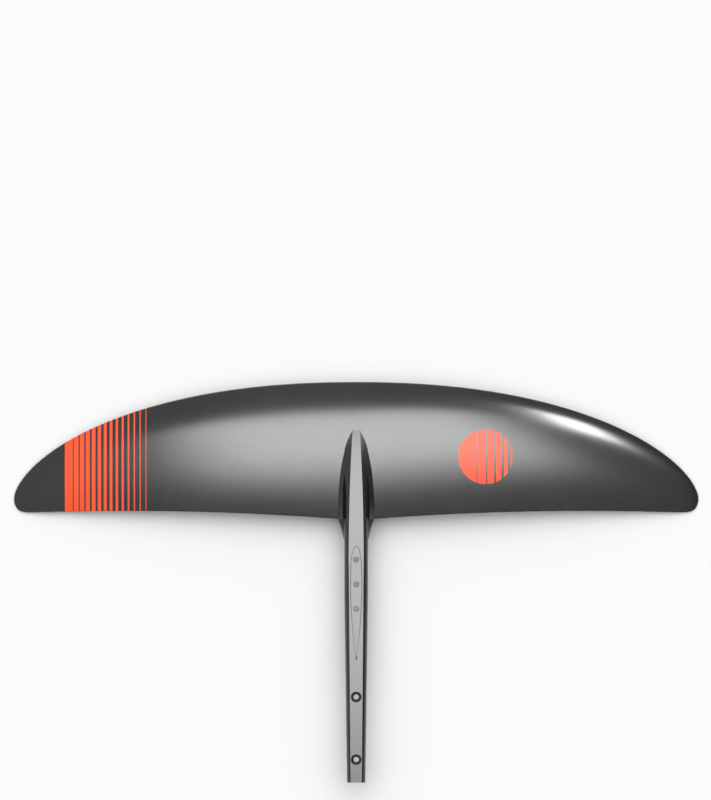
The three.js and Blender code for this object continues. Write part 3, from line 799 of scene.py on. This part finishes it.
def fuselage_half_width(y):
    taper = min(max((TAPER_FROM_Y - y) / (TAPER_FROM_Y - TAIL_Y), 0), 1)
    beam = mix(HALF_WIDTH, TAIL_HALF_WIDTH, taper)
    outer = ogive_half_width(y) if y > FAIRING_REAR_Y else beam
    return max(flat_half_width(y) + FLAT_GAP, min(beam, outer))


def top_z(y):
    nose = min(max((y - NOSE_FROM_Y) / (FUSELAGE_FRONT_Y - NOSE_FROM_Y), 0), 1)
    return mix(TOP_Z, upper_surface_at(0, FUSELAGE_FRONT_Y), nose**2)


def belly_z(y):
    if y > BELLY_LIFT_FROM_Y:
        ahead = (y - BELLY_LIFT_FROM_Y) / (FUSELAGE_FRONT_Y - BELLY_LIFT_FROM_Y)
        return BELLY_Z + BELLY_LIFT * ahead**2
    return mix(TAIL_SEAT_Z, BELLY_Z, smoothstep(y, TAIL_SEAT_FROM_Y, BELLY_ENDS_Y))


def groove_share(y):
    """How far the groove beside the fuselage is open: 0 is closed and 1 is its full width."""
    return 0.0 if y < GROOVE_REAR_Y else 1 - smoothstep(y, GROOVE_FULL_Y, GROOVE_FROM_Y)


def neck_half_width(y):
    return fuselage_half_width(y) - NECK_DEPTH * groove_share(y)


def neck_foot_z(y):
    return max(upper_surface_at(HALF_WIDTH, y) + NECK_FOOT, PARTING_Z + NECK_ABOVE_PARTING)


def ramp_z(x, y):
    """Height of the straight ramp from the flat top's edge down to the wing."""
    flat = flat_half_width(y)
    outer = max(ogive_half_width(y), fuselage_half_width(y))
    return mix(top_z(y), upper_surface_at(outer, y), (x - flat) / (outer - flat))


def flank_z(y):
    """Height of the rounded flank's lower end."""
    root_edge = float(trailing_edge_y(HALF_WIDTH))
    on_wing = max(y, root_edge)
    behind = smoothstep(-y, -root_edge, -FAIRING_REAR_Y)
    return mix(ramp_z(neck_half_width(on_wing), on_wing), TOP_Z - FLANK_DEPTH, behind)


def bend(start, middle, end, count):
    """Points on a quadratic curve from start to end, both included."""
    points = []
    for k in range(count + 1):
        t = k / count
        weights = ((1 - t) ** 2, 2 * t * (1 - t), t * t)
        points.append(tuple(sum(w * p[n] for w, p in zip(weights, (start, middle, end))) for n in (0, 1)))
    return points


def top_profile(y, inset):
    """Right half of the top shell's section, from the middle to the parting line."""
    top = top_z(y) - inset
    width = fuselage_half_width(y) - inset
    neck = neck_half_width(y) - inset
    flat = min(flat_half_width(y) - FLAT_INSET * inset, neck - FLAT_GAP)
    flank_end = (neck, min(flank_z(y) - FLANK_INSET * inset, top - FLAT_INSET * inset))
    full = 1 - smoothstep(y, GROOVE_FULL_Y, GROOVE_FROM_Y)
    shoulder = (
        mix((flat + neck) / 2, mix(flat, neck, SHOULDER_REACH), full),
        mix((top + flank_end[1]) / 2, top - SHOULDER_DROP, full),
    )
    flank = bend((flat, top), shoulder, flank_end, FLANK_STEPS)
    level = [(flat * share, top) for share in (0, 0.5)] + [(flat - EDGE_SOFTENING, top)]
    parting = PARTING_Z + SEAM
    foot = min(max(neck_foot_z(y) - inset, parting + NECK_LEDGE), flank_end[1] - 2 * NECK_LEDGE)
    side = [(neck, foot + NECK_LEDGE), (width, foot), (width, parting)]
    return level + flank + side


def bottom_profile(y, inset):
    """Right half of the bottom shell's section, from the parting line to the middle."""
    bottom = belly_z(y) + inset
    width = fuselage_half_width(y) - inset
    corner = min(LOWER_CORNER - inset, LOWER_CORNER_LIMIT * width)
    side = [(width, PARTING_Z - SEAM), (width, (PARTING_Z + bottom + corner) / 2)]
    bent = bend((width, bottom + corner), (width, bottom), (width - corner, bottom), CORNER_STEPS)
    flat = [((width - corner) * share, bottom) for share in BELLY_SHARES]
    return side + bent + flat


def fuselage_stations():
    along = np.linspace(TAIL_Y, FUSELAGE_FRONT_Y, FUSELAGE_ROWS)
    ends = (GROOVE_REAR_Y - STEP_LENGTH, GROOVE_REAR_Y)
    return sorted(set(along[np.abs(along - GROOVE_REAR_Y) > STATION_ROOM]) | set(ends))


def shell_grid(profile, inset):
    """Full section from right to left, at every station."""
    rows = []
    for y in fuselage_stations():
        right = profile(y, inset)
        centred = right if abs(right[0][0]) > abs(right[-1][0]) else right[::-1]
        left = [(-x, z) for x, z in centred[-2::-1]]
        rows.append([(x, y, z) for x, z in centred + left])
    return np.array(rows)


def fuselage_shell(name, profile, node_name, cutters):
    """One half of the fuselage, lofted through its profile with a wall's thickness, then cut, with
    painted shade on the groove's ledge and in the mast notch.
    """
    points, faces = sandwich(shell_grid(profile, 0), shell_grid(profile, WALL))
    shell = new_object(name, points, faces, [GLOSS, PAINTED_SHADE])
    cut_out(shell, cutters)
    paint_ledge_shade(shell)
    paint_notch_shade(shell)
    crisp(shell, FUSELAGE_EDGE_ANGLE)
    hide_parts(node_name)


def paint_ledge_shade(shell):
    """Paints shade on the ledge at the neck's foot, inside the groove, with the near-black matt material.
    """
    for face in shell.data.polygons:
        x, y, z = face.center / MM
        beside = abs(x) > neck_half_width(y) - GROOVE_SHADE_GAP
        if groove_share(y) > 0 and beside and z < neck_foot_z(y) + 2 * NECK_LEDGE:
            face.material_index = 1


def mast_foot(inset, z):
    """A ring of points round the mast's foot outline: round in front, pointed behind."""
    half_length, half_width = SEAT_HALF_LENGTH - inset, SEAT_HALF_WIDTH - inset
    inner, outer = SEAT_NOSE_POWERS

    def width_at(share):
        if share < SEAT_NOSE:
            return half_width * (1 - (1 - share / SEAT_NOSE) ** inner) ** outer
        return half_width * (1 - ((share - SEAT_NOSE) / (1 - SEAT_NOSE)) ** SEAT_TAIL_POWER)

    shares = [(1 - math.cos(math.pi * k / SEAT_STEPS)) / 2 for k in range(SEAT_STEPS + 1)]
    right = [(width_at(share), half_length * (1 - 2 * share), z) for share in shares]
    left = [(-x, y, z) for x, y, z in right[1:-1]]
    return right + left[::-1]


def mast_notch():
    """The cutter of the slot that takes the mast's trailing edge."""
    rear, front = NOTCH_Y
    half = NOTCH_WIDTH / 2
    ring = [(-half, rear), (half, rear), (half, front), (0, front + half), (-half, front)]
    return loft([[(x, y, z) for x, y in ring] for z in (TOP_Z - NOTCH_DEPTH, TOP_Z + OVERCUT)])


def paint_notch_shade(obj):
    """Paints shade inside the mast notch with the near-black matt material."""
    half, edge = NOTCH_WIDTH / 2, NECK_LEDGE
    for face in obj.data.polygons:
        x, y, z = face.center / MM
        within = abs(x) < half + edge and NOTCH_Y[0] - edge < y < NOTCH_Y[1] + half + edge
        if within and z < TOP_Z - edge:
            face.material_index = 1


def cup_room(y):
    """The cutters that make room for a tail cup."""
    shoulder = TOP_Z - CUP_HEAD_HEIGHT - CLEARANCE
    stem, head = CUP_STEM_RADIUS + CLEARANCE, CUP_RADIUS + CLEARANCE
    return [
        plug([(stem, TAIL_SEAT_Z - OVERCUT), (stem, TOP_Z + OVERCUT)], y),
        plug([(head, shoulder), (head, TOP_Z + OVERCUT)], y),
    ]


def sleeve_room(y):
    """The cutter that makes room for a mast sleeve's head."""
    radius, top = SLEEVE_HEAD_RADIUS + CLEARANCE, BELLY_Z + SLEEVE_HEAD_HEIGHT + CLEARANCE
    return [plug([(radius, BELLY_Z - OVERCUT), (radius, top)], y)]


def fuselage():
    hole_ends = (TOP_Z - WALL - OVERCUT, TOP_Z + OVERCUT)
    seat_hole = loft([mast_foot(-CLEARANCE, z) for z in hole_ends])
    cups = [cutter for y in TAIL_BOLTS.values() for cutter in cup_room(y)]
    sleeves = [cutter for y in MAST_BOLTS.values() for cutter in sleeve_room(y)]
    through_top = [seat_hole, mast_notch(), *cups]
    fuselage_shell("fuselage_top_moulding", top_profile, "fuselage_top_shell", through_top)
    fuselage_shell("fuselage_bottom_moulding", bottom_profile, "fuselage_bottom_shell", [*sleeves, *cups])


def notch_floor_shade():
    """A near-black film of painted shade over the block that shows at the bottom of the mast notch."""
    rear, front = NOTCH_Y
    half, back = NOTCH_WIDTH / 2 - NOTCH_FLOOR_INSET, rear + NOTCH_FLOOR_INSET
    ring = [(-half, back), (half, back), (half, front), (-half, front)]
    base = TOP_Z - WALL
    points, faces = loft([[(x, y, z) for x, y in ring] for z in (base, base + PAINT_FILM)])
    shade_film = new_object("notch_painted_shade", points, faces, [PAINTED_SHADE], smooth=False)


def mast_seat():
    """The tray that the mast's foot sits in, with its three bolt holes and the notch, whose inside gets
    painted shade.
    """
    rings = [
        mast_foot(0, -SEAT_FLOOR),
        mast_foot(0, TOP_Z - SEAT_CHAMFER),
        mast_foot(SEAT_CHAMFER, TOP_Z),
        mast_foot(SEAT_RIM - SEAT_CHAMFER, TOP_Z),
        mast_foot(SEAT_RIM, TOP_Z - SEAT_CHAMFER),
        mast_foot(SEAT_RIM, SEAT_FILLET),
        mast_foot(SEAT_RIM + SEAT_FILLET, 0),
    ]
    points, faces = loft(rings)
    seat = new_object("mast_seat_tray", points, faces, [GLOSS, PAINTED_SHADE])
    mouth = [
        (BORE_RADIUS, -SEAT_FLOOR - OVERCUT),
        (BORE_RADIUS, -BORE_CHAMFER),
        (BORE_RADIUS + BORE_CHAMFER, 0),
        (BORE_RADIUS + BORE_CHAMFER, OVERCUT),
    ]
    for y in MAST_BOLTS.values():
        cut_out(seat, [plug(mouth, y)])
    cut_out(seat, [mast_notch()])
    paint_notch_shade(seat)
    crisp(seat, FITTING_EDGE_ANGLE)
    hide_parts("mast_seat_insert")


def bolt_sleeves():
    """Steel sleeves from the belly to the seat, countersunk at the belly for the mast's bolts."""
    top = -SEAT_FLOOR - CLEARANCE
    shoulder = BELLY_Z + SLEEVE_HEAD_HEIGHT
    outline = [
        (BORE_RADIUS, top),
        (BORE_RADIUS, BELLY_Z + SLEEVE_COUNTERSINK_DEPTH),
        (SLEEVE_COUNTERSINK_RADIUS, BELLY_Z + MOUTH_CHAMFER),
        (SLEEVE_COUNTERSINK_RADIUS + MOUTH_CHAMFER, BELLY_Z),
        (SLEEVE_HEAD_RADIUS - FOOT_CHAMFER, BELLY_Z),
        (SLEEVE_HEAD_RADIUS, BELLY_Z + FOOT_CHAMFER),
        (SLEEVE_HEAD_RADIUS, shoulder),
        (SLEEVE_RADIUS, shoulder),
        (SLEEVE_RADIUS, top),
    ]
    for place, y in MAST_BOLTS.items():
        points, faces = turned(outline, y)
        sleeve = new_object(f"mast_sleeve_{place}", points, faces, [STEEL])
        crisp(sleeve, FITTING_EDGE_ANGLE)
        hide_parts(f"mast_bolt_sleeve_{place}")


def tail_cups():
    """Black cups in the tail, countersunk at the top for the bolts that hold the tail wing."""
    shoulder = TOP_Z - CUP_HEAD_HEIGHT
    outline = [
        (BORE_RADIUS, TAIL_SEAT_Z),
        (CUP_STEM_RADIUS - FOOT_CHAMFER, TAIL_SEAT_Z),
        (CUP_STEM_RADIUS, TAIL_SEAT_Z + FOOT_CHAMFER),
        (CUP_STEM_RADIUS, shoulder),
        (CUP_RADIUS, shoulder),
        (CUP_RADIUS, TOP_Z - MOUTH_CHAMFER),
        (CUP_RADIUS - MOUTH_CHAMFER, TOP_Z),
        (CUP_MOUTH_RADIUS + CUP_LIP_CHAMFER, TOP_Z),
        (CUP_MOUTH_RADIUS, TOP_Z - CUP_LIP_CHAMFER),
        (BORE_RADIUS, TOP_Z - CUP_COUNTERSINK_DEPTH),
    ]
    for place, y in TAIL_BOLTS.items():
        points, faces = turned(outline, y)
        cup = new_object(f"tail_cup_{place}", points, faces, [BLACK])
        crisp(cup, FITTING_EDGE_ANGLE)
        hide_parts(f"tail_bolt_cup_{place}")


# ---------------------------------------------------------------- root fairings


def fairing_rows(root_edge):
    """Y, whether the row follows the trailing edge and whether it lies on the wing, for each row."""
    front, rear = GROOVE_REAR_Y + STEP_LENGTH, root_edge - FAIRING_BEHIND_FROM
    ahead = [(y, False, True) for y in np.linspace(FAIRING_FRONT_Y, front, FAIRING_ROWS_ON_WING)]
    wrap = [(root_edge - EDGE_WRAP, True, True), (root_edge - EDGE_WRAP - EDGE_WRAP_STEP, True, False)]
    behind = [(y, False, False) for y in np.linspace(rear, FAIRING_REAR_Y, FAIRING_ROWS_BEHIND)]
    return ahead + wrap + behind


def groove_shade_film(hand, side):
    """A near-black film of painted shade on the wing's surface, at the foot of the groove between neck
    and fairing.
    """
    front, rear = GROOVE_FROM_Y - GROOVE_SHADE_SHORT, GROOVE_REAR_Y + GROOVE_SHADE_SHORT
    stations = np.linspace(front, rear, GROOVE_SHADE_ROWS)
    rows = []
    for y in stations:
        neck = neck_half_width(y) + GROOVE_SHADE_GAP
        wall = fuselage_half_width(y) + FAIRING_SEAM + GROOVE_WIDTH * groove_share(y) - GROOVE_SHADE_GAP
        x = np.linspace(neck, max(wall, neck + GROOVE_SHADE_GAP), GROOVE_SHADE_COLUMNS)
        along = np.full_like(x, y)
        rows.append(np.stack([side * x, along, upper_surface_at(x, along)], axis=-1))
    foot = np.array(rows)
    up = np.array([0, 0, 1.0])
    points, faces = sandwich(foot + up * (PAINT_LIFT + PAINT_FILM), foot + up * PAINT_LIFT)
    shade_film = new_object(f"groove_painted_shade_{hand}", points, faces, [PAINTED_SHADE])
    crisp(shade_film, FAIRING_EDGE_ANGLE)


def root_fairing(hand, side):
    """A ramp from the fuselage's side down to the wing, with a tail behind the trailing edge."""
    root_edge = float(trailing_edge_y(HALF_WIDTH))
    shares = np.linspace(0, 1, FAIRING_COLUMNS)
    top, bottom = [], []
    for row_y, follows_edge, on_wing in fairing_rows(root_edge):
        inner = fuselage_half_width(row_y) + FAIRING_SEAM + GROOVE_WIDTH * groove_share(row_y)
        outer = max(ogive_half_width(row_y), inner + FAIRING_LEAST_WIDTH)
        crest = ramp_z(inner, max(row_y, root_edge)) if on_wing else flank_z(row_y)
        x = mix(inner, outer, shares)
        y = row_y + (trailing_edge_y(x) - root_edge if follows_edge else np.zeros_like(x))
        wing = upper_surface_at(x, np.maximum(y, trailing_edge_y(x) + EDGE_HALF_THICKNESS))
        over = np.maximum(mix(crest, wing, shares), wing + FAIRING_LIP)
        under = wing + FAIRING_SEAM if on_wing else np.full_like(x, FAIRING_BOTTOM_Z)
        top.append(np.stack([side * x, y, over], axis=-1))
        bottom.append(np.stack([side * x, y, under], axis=-1))
    points, faces = sandwich(np.array(top), np.array(bottom))
    fairing = new_object(f"root_fillet_{hand}", points, faces, [GLOSS, SATIN])
    for face in fairing.data.polygons:
        face.material_index = int(face.center.y < root_edge * MM)
    crisp(fairing, FAIRING_EDGE_ANGLE)
    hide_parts(f"root_fairing_{hand}")


# ---------------------------------------------------------------- pieces kept from the CAD


def finish_inner_pieces():
    finishes = {
        BARE: ["main_spar_web", "upper_spar_cap", "lower_spar_cap"],
        FIBRE: ["leading_edge_filler"],
        FOAM: ["front_core_left", "front_core_right", "rear_core_left", "rear_core_right",
               "fuselage_front_core", "fuselage_rear_core"],
        LAMINATE: ["tip_block_left", "tip_block_right", "mast_block", "tail_block"],
    }
    for material, names in finishes.items():
        for name in names:
            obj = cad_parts[name]
            for slot in obj.material_slots:
                slot.material = material


# ---------------------------------------------------------------- stage


def add_camera():
    """A camera straight above, so high that its perspective is hardly seen."""
    data = bpy.data.cameras.new("camera")
    data.sensor_fit = "AUTO"
    data.sensor_width = SENSOR
    data.lens = SENSOR * CAMERA_HEIGHT / (PIXEL * IMAGE_HEIGHT_PIXELS)
    data.clip_end = CAMERA_REACH * MM
    camera = bpy.data.objects.new("camera", data)
    camera.location = (VIEW_CENTRE[0] * MM, VIEW_CENTRE[1] * MM, CAMERA_HEIGHT * MM)
    bpy.context.scene.collection.objects.link(camera)
    bpy.context.scene.camera = camera


def add_floor():
    """A square floor at the lowest level of the CAD's box."""
    level = CAD_BOX[0][2] / MM
    half = FLOOR_HALF_SIZE
    points = [(-half, -half, level), (half, -half, level), (half, half, level), (-half, half, level)]
    mesh = bpy.data.meshes.new("floor")
    mesh.from_pydata([tuple(c * MM for c in point) for point in points], [], [(0, 1, 2, 3)])
    mesh.materials.append(pale_floor())
    floor = bpy.data.objects.new("floor", mesh)
    bpy.context.scene.collection.objects.link(floor)


def add_area_light(name, place, size, radiance):
    """A rectangular studio light that faces down, of a given radiance."""
    data = bpy.data.lights.new(name, "AREA")
    data.shape = "RECTANGLE"
    data.size, data.size_y = (side * MM for side in size)
    data.energy = radiance * math.pi * data.size * data.size_y
    light = bpy.data.objects.new(name, data)
    light.location = tuple(c * MM for c in place)
    light.visible_camera = False
    bpy.context.scene.collection.objects.link(light)
    return light


def soft_edge(nodes, links, value, low_width, high_width):
    """1 in the middle of a light, falling smoothly to 0 at both ends of its 0 to 1 coordinate."""
    rise = nodes.new("ShaderNodeMapRange")
    rise.interpolation_type = "SMOOTHSTEP"
    rise.inputs["From Max"].default_value = low_width
    links.new(value, rise.inputs["Value"])
    fall = nodes.new("ShaderNodeMapRange")
    fall.interpolation_type = "SMOOTHSTEP"
    fall.inputs["From Min"].default_value = 1
    fall.inputs["From Max"].default_value = 1 - high_width
    links.new(value, fall.inputs["Value"])
    return math_node(nodes, links, "MULTIPLY", rise.outputs["Result"], fall.outputs["Result"])


def feather(light, along, across):
    """Fades a light's radiance towards its edges: shares of its size for the low and the high end."""
    light.data.use_nodes = True
    nodes, links = light.data.node_tree.nodes, light.data.node_tree.links
    place = nodes.new("ShaderNodeNewGeometry")
    split = nodes.new("ShaderNodeSeparateXYZ")
    links.new(place.outputs["Parametric"], split.inputs[0])
    first = soft_edge(nodes, links, split.outputs["X"], *along)
    second = soft_edge(nodes, links, split.outputs["Y"], *across)
    links.new(math_node(nodes, links, "MULTIPLY", first, second), nodes["Emission"].inputs["Strength"])


def add_lights():
    """Two soft panels that only show in reflections, and the room that lights everything else."""
    softbox = add_area_light("softbox", SOFTBOX_CENTRE, SOFTBOX_SIZE, SOFTBOX_RADIANCE)
    softbox.rotation_euler = (0, 0, math.radians(SOFTBOX_TURN))
    feather(softbox, *SOFTBOX_FEATHER)
    highlight = add_area_light("highlight", HIGHLIGHT_CENTRE, HIGHLIGHT_SIZE, HIGHLIGHT_RADIANCE)
    for light in (softbox, highlight):
        light.visible_diffuse = False
    add_room()
    bpy.context.scene.view_settings.view_transform = "Standard"


def choose(nodes, links, condition, otherwise, chosen):
    """The chosen value where the condition is 1, and the other where it is 0."""
    made = nodes.new("ShaderNodeMix")
    links.new(condition, made.inputs["Factor"])
    for socket, value in ((made.inputs["A"], otherwise), (made.inputs["B"], chosen)):
        if isinstance(value, (int, float)):
            socket.default_value = value
        else:
            links.new(value, socket)
    return made.outputs["Result"]


def add_room():
    """A white dome, brightest a little in front of overhead, and a dimmer room in reflections."""
    world = bpy.data.worlds.new("studio")
    world.use_nodes = True
    nodes, links = world.node_tree.nodes, world.node_tree.links
    place = nodes.new("ShaderNodeTexCoord")
    split = nodes.new("ShaderNodeSeparateXYZ")
    links.new(place.outputs["Generated"], split.inputs[0])
    fall = nodes.new("ShaderNodeMapRange")
    fall.inputs["From Min"].default_value = 0
    fall.inputs["From Max"].default_value = ROOM_DIMS_TO
    fall.inputs["To Min"].default_value, fall.inputs["To Max"].default_value = ROOM_RADIANCE
    links.new(split.outputs["X"], fall.inputs["Value"])
    lean = math.radians(DOME_LEAN)
    ahead = math_node(nodes, links, "MULTIPLY", split.outputs["Y"], math.sin(lean))
    above = math_node(nodes, links, "MULTIPLY", split.outputs["Z"], math.cos(lean))
    towards = math_node(nodes, links, "MAXIMUM", math_node(nodes, links, "ADD", ahead, above), 0.0)
    overhead = math_node(nodes, links, "POWER", towards, DOME_POWER)
    dome = math_node(nodes, links, "MULTIPLY", overhead, DOME_RADIANCE)
    path = nodes.new("ShaderNodeLightPath")
    lit = choose(nodes, links, path.outputs["Is Glossy Ray"], dome, fall.outputs["Result"])
    seen = choose(nodes, links, path.outputs["Is Camera Ray"], lit, BACKGROUND_RADIANCE)
    nodes["Background"].inputs["Color"].default_value = (1, 1, 1, 1)
    links.new(seen, nodes["Background"].inputs["Strength"])
    bpy.context.scene.world = world


# ---------------------------------------------------------------- build

add_camera()
add_floor()
add_lights()
upper_skin()
lower_skin()
painted_disc()
fuselage()
mast_seat()
notch_floor_shade()
bolt_sleeves()
tail_cups()
root_fairing("left", -1)
root_fairing("right", 1)
groove_shade_film("left", -1)
groove_shade_film("right", 1)
finish_inner_pieces()
